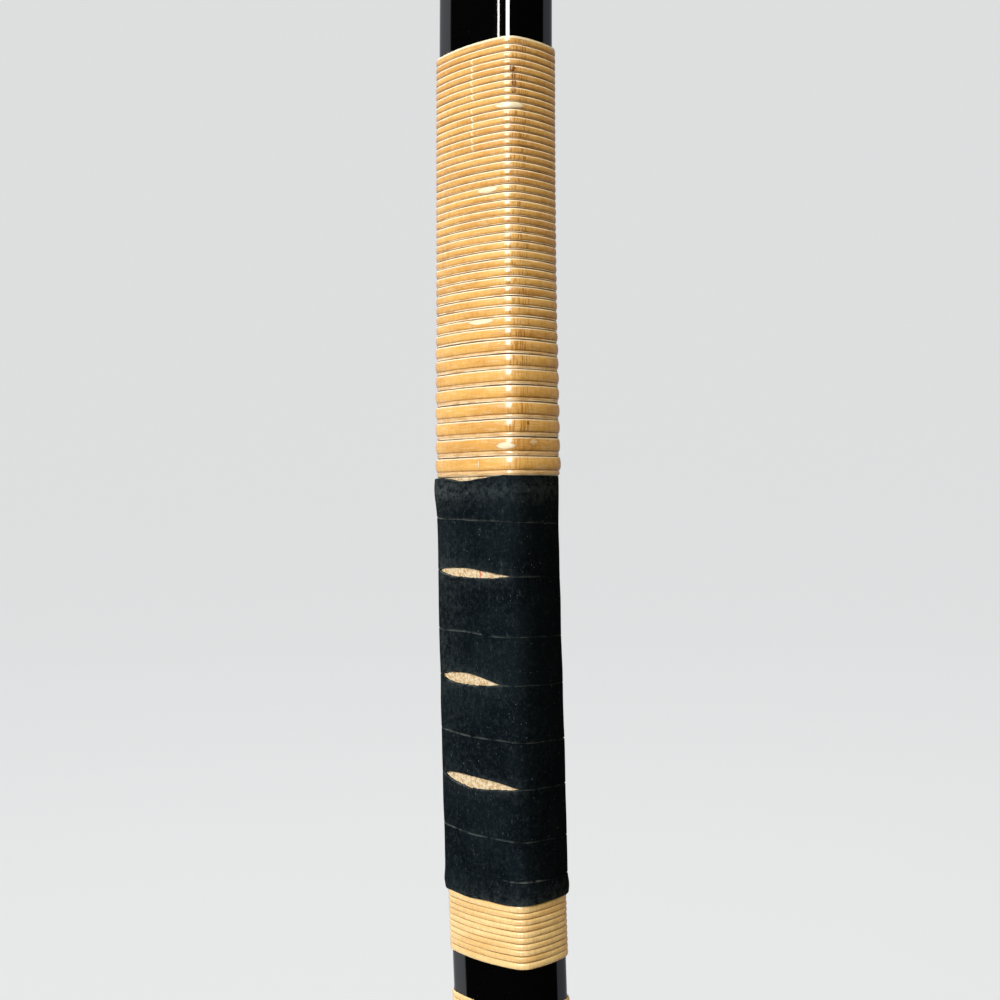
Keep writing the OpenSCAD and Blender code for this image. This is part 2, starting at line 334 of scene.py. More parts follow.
def lacquer_look():
    """Black gloss lacquer: a slightly wavy surface with dust and rubbed, duller patches."""
    look = Look("black_lacquer")
    waves = look.noise(90, 2, look.stretched((1, 1, 0.25)))
    dust = look.rise(look.noise(2600, 1), 0.74, 0.80)
    rubbed = look.rise(look.noise(34, 4, look.stretched((1, 1, 0.3))), 0.52, 0.75)
    hairs = look.rise(look.noise(420, 2, look.stretched((1, 1, 0.06))), 0.62, 0.78)
    rough = look.plus(0.035, look.times(rubbed, 0.05), look.times(hairs, rubbed, 0.10))
    rough = look.plus(rough, look.times(dust, 0.25))
    colour = look.mix(look.times(dust, 0.25), (0.0007, 0.0007, 0.0008), (0.06, 0.055, 0.05))
    normal = look.bump(waves, 0.25, 0.00006)
    normal = look.bump(look.noise(1500, 2), 0.05, 0.00002, normal)
    return look.finish(Base_Color=colour, Roughness=rough, IOR=1.62, Normal=normal)


# The rattan's materials read these facts. across runs from 0 at a turn's lower edge to 1 at its upper edge.
# along is the distance along the strip, way the distance round the belly from its left side, and height the
# height of the turn's middle. from_foot and from_head are the distances from the turn's two edges. bend is 1
# where the strip goes round a corner, and scar and stain rise above 0 where the strip is marked.
# The pale colour of bare rattan in the scars, which the painted glints use too
BARE_RATTAN_AND_GLINT = (0.93, 0.82, 0.56)
CREASE_WAY = 32.6                 # where the belly's near corner creases the strip
GLINT_WAY = 18.7                  # a row of painted glints, reflections of a lamp, one to a turn, between two heights
GLINT_MIDDLE, GLINT_HALF = 151.6, 11.6
GLINTLESS = 151.4                 # the one turn in that row without a glint


def streaks(look, each_mm, each_strip, seed, detail=3):
    """Noise with so many features to a millimetre along the strip and so many across it."""
    along = look.times(look.fact("along"), each_mm)
    across = look.times(look.fact("across"), each_strip)
    return look.noise(1.0, detail, look.join(along, across, seed))


def shaved_lip(look, colour, fibres, pale, lip):
    """Adds the paler wood of a strip shaved along its lower edge, the step above it and painted highlights on
    its two rims.
    """
    across = look.fact("across")
    shaved = look.opposite(look.rise(across, lip - 0.02, lip))
    wood = look.mix(look.rise(fibres, 0.40, 0.65), (0.75, 0.50, 0.24), (0.56, 0.33, 0.13))
    colour = look.mix(shaved, colour, wood)
    colour = look.mix(look.times(look.band(across, lip, 0.014, 0.04), 0.50), colour, (0.34, 0.14, 0.025))
    broken = look.rise(streaks(look, 0.16, 0.0, 19.0), 0.38, 0.55)
    # Painted highlights: pale lines along the lower rim, broken, and along the upper rim, where the edges
    # catch the light
    lower_rim_highlight = look.times(look.band(look.fact("from_foot"), 0.34, 0.09, 0.10), broken, shaved, 0.8)
    upper_rim = look.times(look.band(look.fact("from_head"), 0.25, 0.09, 0.10), 0.85)
    return look.mix(look.math("MAXIMUM", lower_rim_highlight, upper_rim), colour, pale)


def scars(look, colour, fibres):
    """Adds the places where the skin is scraped off, with a brown rim and ragged ends."""
    scarred = look.plus(look.fact("scar"), look.times(look.less(fibres, 0.5), 0.30))
    colour = look.mix(look.times(look.rise(scarred, -0.06, 0.04), 0.55), colour, (0.44, 0.19, 0.03))
    bare = look.times(look.rise(scarred, 0.04, 0.16), look.plus(0.35, look.rise(scarred, 0.1, 0.7)))
    return look.mix(look.math("MINIMUM", bare, 0.85), colour, BARE_RATTAN_AND_GLINT)


def painted_glints(look, colour):
    """Adds a row of painted glints, pale reflections of a lamp, hooked and a little out of line with each
    other.
    """
    across = look.fact("across")
    height = look.fact("height")
    each_turn = look.noise(0.9, 1, look.join(0.0, 0.0, height))
    shift = look.times(look.less(each_turn, 0.5), 2.4)
    hook = look.times(look.math("POWER", look.less(across, 0.62), 2.0), -4.0)
    glint = look.band(look.plus(look.fact("way"), look.plus(shift, hook)), GLINT_WAY, 0.10, 0.34)
    strength = look.rise(look.noise(2.3, 1, look.join(5.0, 0.0, height)), 0.18, 0.52)
    row = look.times(look.band(height, GLINT_MIDDLE, GLINT_HALF, 0.5), look.rise(across, 0.24, 0.34))
    row = look.less(row, look.band(height, GLINTLESS, 0.9, 0.3), clamp=True)
    # Painted glints: pale spots where a lamp's reflection would fall on each turn
    return look.mix(look.times(glint, strength, row, 0.85), colour, BARE_RATTAN_AND_GLINT)


def rattan_look(name, skin, dark, pale, groove_shade, lip=0.0):
    """Varnished rattan strip: blotched skin, fibres, cross ticks and painted shade in the grooves between
    turns.
    A strip shaved along its lower edge has its skin above lip, painted highlights on its rims, painted glints
    and the marks of use too."""
    look = Look(name)
    fibres = streaks(look, 0.22, 14, 0.0)
    blotch = streaks(look, 0.06, 0.7, 3.0)
    ticks = look.rise(streaks(look, 2.9, 0.9, 7.0, 2), 0.49, 0.62)
    patchy = look.rise(streaks(look, 0.05, 0.3, 11.0, 2), 0.36, 0.56)
    colour = look.mix(look.rise(blotch, 0.38, 0.66), skin, dark)
    colour = look.mix(look.times(look.rise(fibres, 0.45, 0.75), 0.30), colour, pale)
    creased = look.band(look.fact("way"), CREASE_WAY, 2.0, 2.4)
    creased = look.math("MAXIMUM", look.times(look.fact("bend"), 0.5), creased)
    worked = look.times(creased, look.plus(0.30, look.times(patchy, 0.42)), 1.0 if lip else 0.2)
    colour = look.mix(look.times(ticks, look.plus(0.12, worked)), colour, (0.42, 0.17, 0.025))
    if lip:
        colour = shaved_lip(look, colour, fibres, pale, lip)
        colour = scars(look, colour, fibres)
        colour = painted_glints(look, colour)
        bruise = look.rise(look.fact("stain"), 0.0, 0.4)
        bruise = look.math("MULTIPLY", bruise, look.plus(0.45, ticks), clamp=True)
        colour = look.mix(bruise, colour, (0.20, 0.065, 0.008))
    # Painted shade: both edges of each turn take the dark groove colour, the lower edge over a wider band
    foot = look.opposite(look.rise(look.fact("from_foot"), 0.12, 0.23))
    head = look.opposite(look.rise(look.fact("from_head"), 0.03, 0.09))
    edge = look.math("MAXIMUM", foot, head)
    uneven = look.plus(0.55, look.times(look.rise(streaks(look, 0.09, 0.0, 29.0), 0.40, 0.62), 0.45))
    colour = look.mix(look.times(edge, uneven), colour, groove_shade)
    rough = look.plus(0.17, look.times(look.rise(look.noise(700, 3), 0.3, 0.8), 0.30), look.times(edge, 0.4))
    normal = look.bump(ticks, 0.30, 0.00003)
    normal = look.bump(fibres, 0.50, 0.00004, normal)
    normal = look.bump(look.noise(600, 3), 0.40, 0.00009, normal)
    return look.finish(
        Base_Color=colour, Roughness=rough, IOR=1.44, Normal=normal, Coat_Weight=0.40, Coat_Roughness=0.18
    )


def leather_look():
    """Soft black deerskin with a short nap, mottled and with lint. edge is the distance from the strip's
    nearer edge, rubbed is how pale that edge is, worn is 1 where the skin is rubbed pale, and the fact for
    painted shade is 1 over the right side and the back, which are painted deep black as shade."""
    look = Look("black_leather")
    cloud = look.noise(55, 4)
    mottle = look.noise(650, 5, rough=0.72)
    nap = look.noise(2300, 5, look.stretched((1, 1, 0.6)), 0.75)
    lint = look.rise(look.noise(1900, 2, look.stretched((1.3, 1.3, 0.7))), 0.725, 0.765)
    hairs = look.rise(look.noise(1700, 3, look.stretched((1, 1, 0.35)), 0.6), 0.64, 0.72)
    # Painted shade: the right side and the back are painted deep black, and there the paler mottle, nap and
    # hairs are muted
    painted_shade = look.times(look.fact("painted_shade"), 0.65)
    lit_share = look.opposite(painted_shade)
    colour = look.mix(look.rise(cloud, 0.36, 0.64), (0.0014, 0.0034, 0.0050), (0.0042, 0.0080, 0.0104))
    colour = look.mix(painted_shade, colour, (0.0004, 0.0010, 0.0016))
    colour = look.mix(look.times(look.rise(mottle, 0.46, 0.74), 0.42, lit_share), colour, (0.022, 0.030, 0.034))
    colour = look.mix(look.times(look.rise(nap, 0.50, 0.72), 0.30, lit_share), colour, (0.045, 0.055, 0.058))
    colour = look.mix(look.times(hairs, 0.45, lit_share), colour, (0.060, 0.070, 0.070))
    dusty = look.rise(look.plus(mottle, look.times(nap, 0.4)), 0.52, 0.84)
    colour = look.mix(look.times(look.fact("worn"), dusty, 0.85), colour, (0.062, 0.074, 0.072))
    seam = look.opposite(look.rise(look.plus(look.fact("edge"), look.times(nap, 0.22)), 0.20, 0.46))
    broken = look.rise(look.noise(330, 4, rough=0.7), 0.36, 0.62)
    colour = look.mix(look.times(seam, broken, look.fact("rubbed")), colour, (0.150, 0.170, 0.155))
    colour = look.mix(look.times(lint, 0.55), colour, (0.22, 0.24, 0.24))
    normal = look.bump(look.noise(520, 4, rough=0.6), 0.40, 0.00013)
    normal = look.bump(nap, 0.60, 0.00008, normal)
    return look.finish(Base_Color=colour, Roughness=0.90, Normal=normal, Specular_IOR_Level=0.03)


RED_LINE = (3.3, 29.7)            # how far right of the belly's middle it lies, and how high its middle is


def cork_look():
    """Pressed cork sheet: pale granules with brown specks between them, and a red setting-out line. across is
    the distance right of the belly's middle, and height the height."""
    look = Look("cork_sheet")
    cells = look.node("TexVoronoi", {"feature": "F1"}, Vector=look.place(), Scale=900)
    specks = look.rise(look.noise(1900, 4, rough=0.65), 0.59, 0.67)
    colour = look.mix(look.rise(look.noise(1150, 3), 0.42, 0.62), (0.69, 0.56, 0.36), (0.51, 0.34, 0.165))
    colour = look.mix(look.times(specks, 0.85), colour, (0.15, 0.07, 0.025))
    line_across, line_height = RED_LINE
    line = look.band(look.fact("across"), line_across, 0.14, 0.10)
    line = look.times(line, look.band(look.fact("height"), line_height, 2.6, 0.4), 0.80)
    colour = look.mix(line, colour, (0.62, 0.07, 0.035))
    normal = look.bump(cells.outputs["Distance"], 0.8, 0.00025)
    return look.finish(Base_Color=colour, Roughness=0.85, IOR=1.4, Normal=normal)


def wood_look(name, light, dark, rings, rough=0.55):
    """Straight-grained wood or bamboo, with the grain along the stave."""
    look = Look(name)
    grain = look.noise(rings, 4, look.stretched((1, 1, 0.03)), 0.6)
    pores = look.rise(look.noise(rings * 3, 2, look.stretched((1, 1, 0.06))), 0.58, 0.70)
    colour = look.mix(look.rise(grain, 0.35, 0.68), light, dark)
    colour = look.mix(look.times(pores, 0.5), colour, tuple(0.5 * c for c in dark))
    normal = look.bump(grain, 0.4, 0.0001)
    return look.finish(Base_Color=colour, Roughness=rough, IOR=1.45, Normal=normal)


# ---- the lacquered stave and its tips ----

STAVE_AROUND = steps_around(9, 14, 8)
STAVE_RINGS = 720
NODES_BELLY = (-575.0, -395.0, -215.0, 300.0, 585.0, 860.0, 1120.0)
NODES_BACK = (-490.0, -300.0, 245.0, 440.0, 720.0, 1000.0, 1230.0)
RIDGE = (0.34, 2.2)               # a bamboo node's height and half width under the lacquer
DIP = (0.12, 3.0, 5.5)            # the dip above it: its depth, its half width and how far above it lies


def swelling(z, arc, share):
    """The low ridge that each bamboo node makes under the lacquer, on the belly and on the back."""
    ridge_height, ridge_width = RIDGE
    dip_depth, dip_width, dip_above = DIP

    def ridges(places):
        total = np.zeros_like(z)
        for at in places:
            total += hump(z, ridge_height, at, ridge_width)
            total -= hump(z, dip_depth, at + dip_above, dip_width)
        return total

    def on_face(number):
        flat = np.where(arc == number, 1.0, 0.0)
        before = np.where(arc == number - 1, share ** 2, 0.0)
        after = np.where(arc == number + 1, (1 - share) ** 2, 0.0)
        return flat + before + after

    return ridges(NODES_BELLY) * on_face(1) + ridges(NODES_BACK) * on_face(5)


def stave():
    """The lacquer's outer surface between the two shoulders."""
    arc, share = STAVE_AROUND
    z = np.linspace(-LOWER_SHOULDER, UPPER_SHOULDER, STAVE_RINGS)[:, None]
    grow = LACQUER + swelling(z, arc, share)
    u, v = outline(z, arc, share, grow)
    return build("lacquered_stave", place(np.broadcast_to(z, u.shape), u, v), closed_ends=False)


def tip(name, up, shoulder_at, nock):
    """The shoulder and nock at one end, carved from the end block. up is 1 at the top and -1 at the foot."""
    arc, share = STAVE_AROUND
    at = up * shoulder_at
    u0, v0 = outline(np.array(at), arc, share, LACQUER)
    lean = math.atan(float(set_back(np.array(at))[1]))
    way = np.array([0.0, up * math.sin(lean), up * math.cos(lean)])
    size = np.linalg.norm(np.stack([u0, v0], -1), axis=-1)
    round_u, round_v = u0 / size, v0 / size
    radius, length = nock
    rings = []
    for t in np.linspace(0, 1, 14):
        rounded = 1 - math.cos(t * math.pi / 2) ** 1.4
        u = u0 * (1 - rounded) + round_u * (radius + LEDGE) * rounded
        v = v0 * (1 - rounded) + round_v * (radius + LEDGE) * rounded
        rings.append((u, v, SHOULDER_LENGTH * t))
    end = SHOULDER_LENGTH
    profile = [
        (radius + LEDGE - 0.12, end + 0.10), (radius + 0.35, end + 0.22), (radius + 0.10, end + 0.5),
        (radius, end + 0.9)
    ]
    profile += [(radius, end + length * t) for t in (0.15, 0.3, 0.45, 0.6, 0.75, 0.9)]
    for t in np.linspace(0, 1, 12):
        a = t * math.pi / 2
        profile.append((radius * math.cos(a) ** 0.8, end + length + 0.7 * radius * math.sin(a)))
    rings += [(round_u * r, round_v * r, along) for r, along in profile]
    points = np.stack([place(np.full_like(u, at), u, v) + way * along * MM for u, v, along in rings])
    points[-1] = points[-1].mean(0)
    return build(name, points if up > 0 else points[:, ::-1])


def end_block(name, up, splice, shoulder_at):
    """The hidden part of an end block, just under the lacquer: the belly lamination out to the shoulder."""
    arc, share = STAVE_AROUND
    belly = (arc <= 2) & ~((arc == 2) & (share > 0.95))
    z = up * np.linspace(splice, shoulder_at, 24)[:, None]
    u, v = outline(z, arc[belly], share[belly], -0.05)
    rings = place(np.broadcast_to(z, u.shape), u, v)
    return build(name, rings if up > 0 else rings[:, ::-1])


# ---- windings ----

END_SLIVER = 0.5                  # narrowest width of a strip where it is cut level
FOOT_SHARE, HEAD_SHARE = 0.03, 0.05    # the shares of a profile that its two rounded edges take
LIP = 0.25                        # where the arrow pass profile's shaved edge ends

PASS_HEIGHT = 112.7
PASS_START = 2.44                 # height of the first whole turn's middle above the grip
PASS_PITCH = (4.36, 1.82)         # at the foot without the widest rattan's extra, and where it has settled
PASS_SETTLE = 9.17                # turns in which the pitch settles
PASS_EXTRA = 0.77                 # the widest rattan's extra, for so many turns, and how fast it goes
WIDE_TURNS = 7.6
NARROWING = 0.35
PASS_THICKNESS = (1.5, 0.85)      # at the foot, and where the pitch has settled
PASS_LIP = (0.29, 0.12)           # share of the width that is shaved, at the same two places
PASS_PROFILE = (
    (0.000, 0.00), (0.012, 0.30), (0.030, 0.54), (0.070, 0.69), (0.130, 0.75), (0.190, 0.74), (0.225, 0.69),
    (0.243, 0.63), (0.258, 0.70), (0.285, 0.80), (0.340, 0.89), (0.430, 0.96), (0.540, 1.00), (0.660, 1.00),
    (0.780, 0.96), (0.870, 0.89), (0.905, 0.86), (0.930, 0.88), (0.950, 0.87), (0.970, 0.70), (0.985, 0.40),
    (1.000, 0.00)
)
# Pale scars in the arrow pass, in the order that marks() takes
PASS_SCARS = (
    (150.0, 30.5, 4.60, 0.62, 0.44, 1.00),
    (127.7, 23.9, 3.60, 0.62, 0.40, 1.00),
    (94.1, 21.6, 4.80, 0.74, 0.26, 1.00),
    (62.3, 28.9, 2.90, 0.52, 0.20, 0.80),
    (62.3, 36.4, 1.90, 0.72, 0.26, 0.24),
    (57.4, 20.9, 0.45, 0.60, 0.32, 0.50),
)
# Dark bruises where it was bent round the near corner
PASS_STAINS = (
    (159.2, 31.2, 1.10, 0.60, 0.44, 0.8),
    (157.3, 31.6, 0.90, 0.60, 0.40, 0.9),
    (155.4, 31.7, 0.90, 0.60, 0.40, 1.0),
    (153.5, 31.6, 1.00, 0.60, 0.40, 1.0),
    (67.0, 34.5, 0.45, 0.74, 0.16, 1.0),
)

FINE_PITCH = 1.59
FINE_START = 0.25                 # how far the first turn starts inside the winding's lower edge
FINE_THICKNESS = 0.6
FINE_PROFILE = (
    (0.000, 0.00), (0.010, 0.40), (0.050, 0.64), (0.130, 0.84), (0.240, 0.95), (0.380, 1.00), (0.560, 1.00),
    (0.720, 0.96), (0.850, 0.84), (0.940, 0.64), (0.988, 0.40), (1.000, 0.00)
)
# The height of each fine winding's lower edge, and its length
FINE_WINDINGS = {
    "below_grip": (-71.5, 16.5),
    "small_ring": (-90.9, 8.3),
    "upper_splice": (1272.1, 25.8),
    "lower_splice": (-517.9, 25.8),
    "sun_ring": (1404.5, 11.5),
    "moon_ring": (-588.0, 11.5),
}


class Turns:
    """The way round the stave: from the belly's left corner it goes over the left side and the back first."""

    def __init__(self, corner, face, side, grow):
        arc, share = steps_around(corner, face, side)
        self.count = len(arc)
        order = (-np.arange(self.count)) % self.count
        self.arc, self.share = arc[order], share[order]
        self.u, self.v = outline(np.array(0.0), self.arc, self.share, grow)
        points = np.stack([self.u, self.v], -1)
        steps = np.linalg.norm(np.roll(points, -1, 0) - points, axis=1)
        self.round = steps.sum()
        self.part = np.concatenate([[0.0], np.cumsum(steps)[:-1]]) / self.round
        from_middle = np.abs(self.share - 0.5) * 2
        self.bend = np.where(self.arc % 2 == 0, 1 - from_middle ** 2, 0.0)

    def walk(self, first, last):
        """The turn number of each step, and which step of the round it is."""
        k = np.arange(math.floor(first * self.count), math.ceil(last * self.count) + 1)
        return k // self.count + self.part[k % self.count], k % self.count


def climb(t):
    """How far a strip has climbed after t turns, in turns. It is level over the right side and the belly."""
    whole = np.floor(t)
    return whole + np.minimum(2 * (t - whole), 1.0)


def marks(places, centre, way, spacing, across):
    """Above 0 where a turn is marked. Each place is a height, a distance from the left side across the belly,
    half the length of the mark, its middle and half its width as shares of the strip's width, and how strong
    it is."""
    total = np.full((len(centre), len(across)), -0.5)
    for at_z, at_way, half_length, middle, half_width, strength in places:
        lens = 1 - np.abs((way - at_way) / half_length) ** 1.6
        body = 1 - np.abs((across - middle) / half_width) ** 2
        on = (np.abs(centre - at_z) / spacing < 0.5)[:, None] & (lens[:, None] > -1) & (body > -1)[None, :]
        mark = strength * (np.minimum(lens[:, None], 1.0) + body[None, :] - 1)
        total = np.maximum(total, np.where(on, mark, -0.5))
    return total


def fitted(profile_across, pitch, lips):
    """A profile's places across each turn, from 0 to 1: a wide turn's edges are no wider than a fine turn's,
    and its shaved edge ends at its own share of the width."""
    narrow = np.minimum(1.0, FINE_PITCH / pitch)
    drawn = (0, FOOT_SHARE, LIP, 1 - HEAD_SHARE, 1)
    wanted = zip(FOOT_SHARE * narrow, lips, 1 - HEAD_SHARE * narrow)
    return np.array([np.interp(profile_across, drawn, (0, foot, lip, head, 1)) for foot, lip, head in wanted])


def wound(
    name, turns, last, low, high, middle, pitch, thick, profile, lip=None, scraped=(), bruised=(), seed=1.0
):
    """A strip wound round the stave and cut level at low and high, which climbs only over the left side and
    the back. profile lists (across, height) pairs from the strip's lower edge to its upper edge, as shares of
    its width and of its thickness. middle(t), pitch(t) and thick(t) are a turn's height, width and thickness,
    and lip(t) is the share of the width that was shaved along the lower edge."""
    walked, step = turns.walk(-1, last)
    t = climb(walked)
    spacing = pitch(t)
    centre = middle(t) + wobble(walked * 5.0, 0.025, seed) * np.minimum(spacing, 3.0)
    low_edge, top_edge = centre - spacing / 2, centre + spacing / 2
    low_edge = np.where(low_edge - low < END_SLIVER, low, low_edge)
    top_edge = np.where(high - top_edge < END_SLIVER, high, top_edge)
    keep = top_edge - low_edge > END_SLIVER
    walked, t, step, spacing, centre = (x[keep] for x in (walked, t, step, spacing, centre))
    low_edge, top_edge = low_edge[keep][:, None], top_edge[keep][:, None]
    across = np.array([p[0] for p in profile])
    height = np.array([p[1] for p in profile])
    z = low_edge + fitted(across, spacing, lip(t) if lip else np.full_like(t, LIP)) * (top_edge - low_edge)
    lift = thick(t) * (1 + wobble(walked * 3.1, 0.05, seed + 4.0))
    grow = LACQUER + height * lift[:, None]
    u, v = outline(z, turns.arc[step][:, None], turns.share[step][:, None], grow)
    way = (1 - turns.part[step]) * turns.round
    bare_top = 0.9 - (high - z - 0.1) / 0.9       # the cut at the top bares the wood
    facts = {
        "across": across[None, :],
        "along": (walked * turns.round)[:, None],
        # A level cut has no groove beside it, so its edge counts as farther off
        "from_foot": z - low_edge + 0.2 * (low_edge == low),
        "from_head": top_edge - z + 0.12 * (top_edge > high - 0.001),
        "bend": turns.bend[step][:, None],
        "way": way[:, None],
        "height": centre[:, None],
        "scar": np.maximum(marks(scraped, centre, way, spacing, across), bare_top),
        "stain": marks(bruised, centre, way, spacing, across),
    }
    facts = {key: np.broadcast_to(value, z.shape)[:, ::-1] for key, value in facts.items()}
    return build(name, place(z, u, v)[:, ::-1], facts=facts)


def arrow_pass():
    """The golden winding above the grip. Its pitch settles going up, and drops after the wide turns."""
    low, high = GRIP_HIGH, GRIP_HIGH + PASS_HEIGHT
    foot, top = PASS_PITCH

    def middle(t):
        before = 1 + math.exp(-WIDE_TURNS / NARROWING)
        wide_sum = t - NARROWING * np.log((1 + np.exp((t - WIDE_TURNS) / NARROWING)) / before)
        settled = (foot - top) * PASS_SETTLE * (1 - np.exp(-t / PASS_SETTLE))
        return low + PASS_START + top * t + settled + PASS_EXTRA * wide_sum

    def pitch(t):
        wide = 1 / (1 + np.exp((t - WIDE_TURNS) / NARROWING))
        return top + (foot - top) * np.exp(-t / PASS_SETTLE) + PASS_EXTRA * wide

    def width_share(t):
        return (pitch(t) - top) / (pitch(0) - top)

    def thick(t):
        at_foot, at_top = PASS_THICKNESS
        return at_top + (at_foot - at_top) * width_share(t)

    def lip(t):
        at_foot, at_top = PASS_LIP
        return at_top + (at_foot - at_top) * np.clip(width_share(t), 0, 1) ** 0.6

    return wound(
        "arrow_pass_winding", Turns(14, 34, 8, 1.2), 60, low, high, middle, pitch, thick,
        PASS_PROFILE, lip, PASS_SCARS, PASS_STAINS, 2.0
    )


def fine_winding(name, low, length, seed):
    """A close winding of fine rattan, whose turns touch."""
    return wound(
        name, Turns(10, 12, 6, 0.8), length / FINE_PITCH + 1, low, low + length,
        lambda t: low + FINE_START + FINE_PITCH * (t + 0.5), lambda t: np.full_like(t, FINE_PITCH),
        lambda t: np.full_like(t, FINE_THICKNESS), FINE_PROFILE, seed=seed
    )


# ---- the grip ----

# Each gap in the leather: its seam, its two ends round the belly from the left side, and its height
GAPS = ((6, 3.3, 28.6, 2.4), (4, 4.1, 25.4, 3.0), (2, 4.2, 30.2, 3.1))
# Heights of the seams between the turns at the belly's left side, from turn -2 up
SEAMS = (-77.0, -63.6, -47.4, -37.2, -23.7, -11.7, 2.8, 15.2, 30.6, 44.6, 58.0, 71.5, 85.0)
FIRST_TURN, LAST_TURN = -2, 7.99
SEAM_FALL = 2.0                   # how far a seam falls from the belly's left side to the back's right side
# Humps on the belly and up the grip: the size of each, its middle and its half width
RIM_DIP = (1.15, -2.0, 5.5)       # of the upper rim, near the belly's middle
RIM_RISE = (1.1, 13.5, 3.2)       # of the upper rim, by the right side
TOP_BULGE = (0.75, 52.0, 5.0)
FOOT_BULGE = (0.30, -52.6, 2.0)
TIGHT_SIDE = (0.55, 45.0, 45.0)   # where the leather lies closer on the right
TOP_WEAR = (0.95, 51.5, 3.2)
HAND_WEAR = (0.35, 20.0, 30.0)
NARROWEST = 0.35                  # width at which the strip's cut ends stop
EDGE_INSET = (0.0, 0.02, 0.10, 0.22, 0.42, 0.8)     # a rounded edge: distances in from it,
EDGE_HEIGHT = (0.0, 0.60, 0.88, 0.98, 1.0, 1.0)     # and heights there as shares of the thickness
BODY_STEPS = 20                   # points across the strip between its two edges


def seam_height(t):
    """Height of the strip's lower edge after t turns. It climbs mostly over the left side and the back."""
    whole = np.floor(t).astype(int)
    part = t - whole
    low, high = np.array(SEAMS)[whole - FIRST_TURN], np.array(SEAMS)[whole - FIRST_TURN + 1]
    hidden = low + (high - SEAM_FALL - low) * 2 * part
    height = np.where(part < 0.5, hidden, high - SEAM_FALL * (2 - 2 * part))
    return height + wobble(t * 9.0, 0.22, 11.0)


def way_through(gap, t, girth):
    """How far through a gap the seam is at t, from 0 at the gap's left end to 1 at its right end."""
    number, start, end, _ = gap
    return ((number - t) * girth - start) / (end - start)


def half_gap(t, side, girth):
    """Half the opening of the seam at t, above the seam for side 1 or below it for side -1."""
    total = np.zeros_like(t)
    ragged = wobble(t * 190.0, 0.16, 17.0 + side) + wobble(t * 60.0, 0.12, 23.0 + side)
    for gap in GAPS:
        way = way_through(gap, t, girth)
        lens = np.sin(math.pi * np.clip(way, 0, 1) ** 0.8) ** 0.85
        opened = 0.5 * gap[3] * lens + (ragged if side < 0 else 0.35 * ragged) * np.sqrt(lens)
        total = np.where((way > 0) & (way < 1), np.maximum(total, opened), total)
    return total


def upper_rim(u, v, step):
    """Height at which the leather's upper rim is cut, at each step of the round."""
    wave = hump(u, *RIM_RISE) - hump(u, *RIM_DIP)
    return GRIP_HIGH + wave * (v < 0) + wobble(step * 0.21, 0.18, 31.0)


def bulge(z, u, left):
    """How far the leather stands out at its rims, most at the left, and lies tighter up the right side."""
    right = np.clip((u - 8.0) / 8.0, 0, 1)
    rims = hump(z, *TOP_BULGE) * (0.1 + 0.9 * left) + hump(z, *FOOT_BULGE)
    return rims - hump(z, *TIGHT_SIDE) * right * np.clip((z - GRIP_LOW) / 20, 0, 1)


def wear(z, t, left, above_edge, below_edge, girth):
    """How worn the leather is: at both rims, beside the gaps, and on the belly's left where it is held."""
    near_gap = np.zeros_like(z)
    for gap in GAPS:
        for shift, off in ((0, above_edge), (1, below_edge)):
            way = way_through(gap, t + shift, girth)
            beside = ((way > -0.05) & (way < 1.05))[:, None]
            near_gap = np.maximum(near_gap, np.where(beside, np.exp(-off / 1.2), 0.0))
    rims = hump(z, *TOP_WEAR) * (0.35 + 0.65 * left) + 0.8 * np.exp(-(z - GRIP_LOW) / 1.6)
    return np.clip(rims + 0.35 * near_gap + hump(z, *HAND_WEAR) * left, 0, 1)


def paleness(t, way, above_edge, below_edge):
    """How pale the strip's edges are rubbed: less towards the right, and the lowest seam only in part."""
    rubbed = np.clip(0.62 - way / 75.0, 0.12, 1.0)
    on_belly = t % 1 >= 0.5
    lowest_turn = ((np.floor(t) == -1) & on_belly)[:, None] & (above_edge < below_edge)
    turn_under_it = ((np.floor(t) == -2) & on_belly)[:, None] & (above_edge >= below_edge)
    in_part = 0.8 * np.exp(-((way - 31.0) / 5.0) ** 4)
    return np.where(lowest_turn | turn_under_it, in_part, rubbed)


